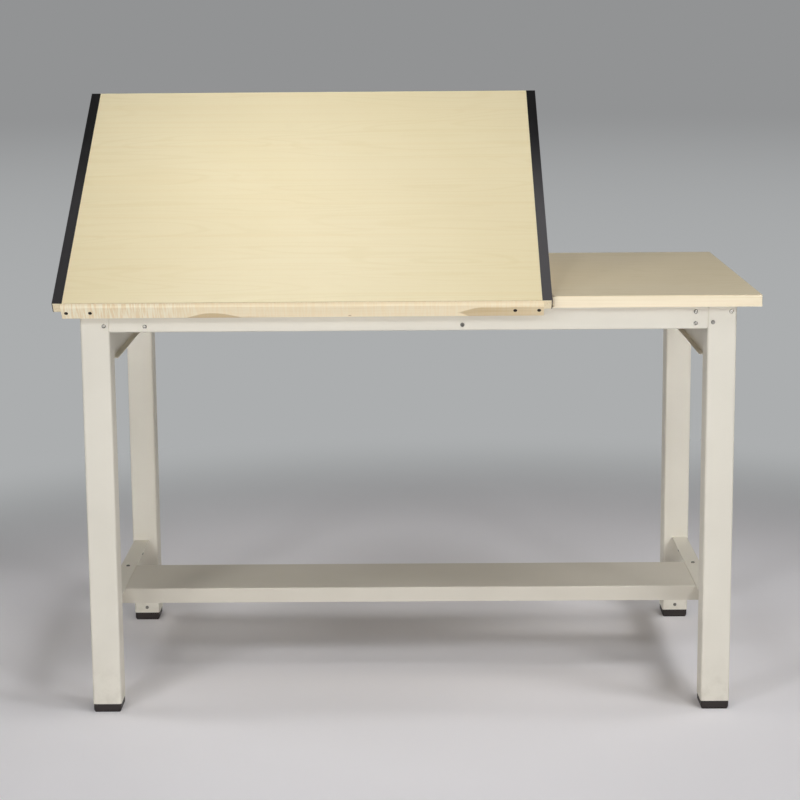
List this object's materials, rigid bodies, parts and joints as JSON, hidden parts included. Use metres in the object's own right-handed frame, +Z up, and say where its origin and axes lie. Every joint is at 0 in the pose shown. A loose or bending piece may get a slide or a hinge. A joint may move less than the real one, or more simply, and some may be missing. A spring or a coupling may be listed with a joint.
{
  "type": "drafting table",
  "caption": "Four-post steel drafting table: a wide drawing board with steel edges tilts on front pivots beside a level work surface, with a footrest shelf between the legs.",
  "frame": {"origin": "on the floor under the middle of the table's overall size in the pose shown", "axes": "+X to the right of the seated user, +Y from the user towards the back, +Z up"},
  "size_m": [1.524, 0.7728, 1.3538],
  "materials": {
    "frame_paint": "satin putty-coloured powder coat",
    "foot_plastic": "moulded black plastic",
    "maple_laminate": "satin maple-patterned laminate",
    "edge_band": "matching maple-coloured edge band",
    "panel_core": "pressed wood core, sanded",
    "apron_maple": "clear-lacquered solid maple",
    "cleat_wood": "plain planed softwood",
    "black_steel": "smooth black steel",
    "zinc_steel": "zinc-plated steel",
    "bright_steel": "plain bright steel",
    "knob_plastic": "fine-textured black plastic",
    "washer_nylon": "natural nylon",
    "dark_screw": "blackened steel",
    "zinc_screw": "bright zinc-plated steel"
  },
  "bodies": {
    "base": {"clamp_bolt_left": "bright_steel", "clamp_bolt_right": "bright_steel", "clamp_spacer_left": "bright_steel", "clamp_spacer_right": "bright_steel", "clamp_washers": "washer_nylon", "cross_member_left": "frame_paint", "cross_member_middle": "frame_paint", "cross_member_right": "frame_paint", "fixed_top_core": "panel_core", "fixed_top_edge_band": "edge_band", "fixed_top_laminate": "maple_laminate", "fixed_top_screws": "zinc_screw", "foot_back_left": "foot_plastic", "foot_back_right": "foot_plastic", "foot_front_left": "foot_plastic", "foot_front_right": "foot_plastic", "foot_screws": "zinc_screw", "footrest_screws": "zinc_screw", "footrest_shelf": "frame_paint", "leg_back_left": "frame_paint", "leg_back_right": "frame_paint", "leg_front_left": "frame_paint", "leg_front_right": "frame_paint", "leg_screws": "zinc_screw", "leg_top_plugs": "foot_plastic", "lower_rail_left": "frame_paint", "lower_rail_right": "frame_paint", "lower_rail_screws": "zinc_screw", "pin_clips": "bright_steel", "pivot_fork_left": "zinc_steel", "pivot_fork_right": "zinc_steel", "pivot_fork_screws": "zinc_screw", "pivot_pin_left": "bright_steel", "pivot_pin_right": "bright_steel", "rail_back": "frame_paint", "rail_front": "frame_paint", "rail_screws": "zinc_screw", "side_apron_left": "frame_paint", "side_apron_right": "frame_paint", "side_apron_screws": "zinc_screw"},
    "board": {"arc_plate_left": "zinc_steel", "arc_plate_right": "zinc_steel", "arc_plate_rivets": "bright_steel", "board_arm_left": "zinc_steel", "board_arm_right": "zinc_steel", "board_arm_screws": "zinc_screw", "board_cleat_left": "cleat_wood", "board_cleat_right": "cleat_wood", "board_core": "panel_core", "board_laminate": "maple_laminate", "cleat_screws": "dark_screw", "front_apron": "apron_maple", "front_apron_screws": "dark_screw", "steel_edge_left": "black_steel", "steel_edge_right": "black_steel", "steel_edge_screws": "dark_screw"},
    "knob_left": {"clamp_knob_left": "knob_plastic"},
    "knob_right": {"clamp_knob_right": "knob_plastic"}
  },
  "joints": [
    {"name": "board_tilt", "type": "hinge", "parent": "base", "child": "board", "pos_m": [0, -0.34345, 0.9206], "axis": [1, 0, 0], "range_deg": [-34.5, 10.5]},
    {"name": "clamp_knob_left_turn", "type": "hinge", "parent": "base", "child": "knob_left", "pos_m": [-0.5155, -0.19722, 0.8872], "axis": [1, 0, 0], "range_deg": [0, 360]},
    {"name": "clamp_knob_right_turn", "type": "hinge", "parent": "base", "child": "knob_right", "pos_m": [0.0625, -0.19722, 0.8872], "axis": [-1, 0, 0], "range_deg": [0, 360]}
  ]
}
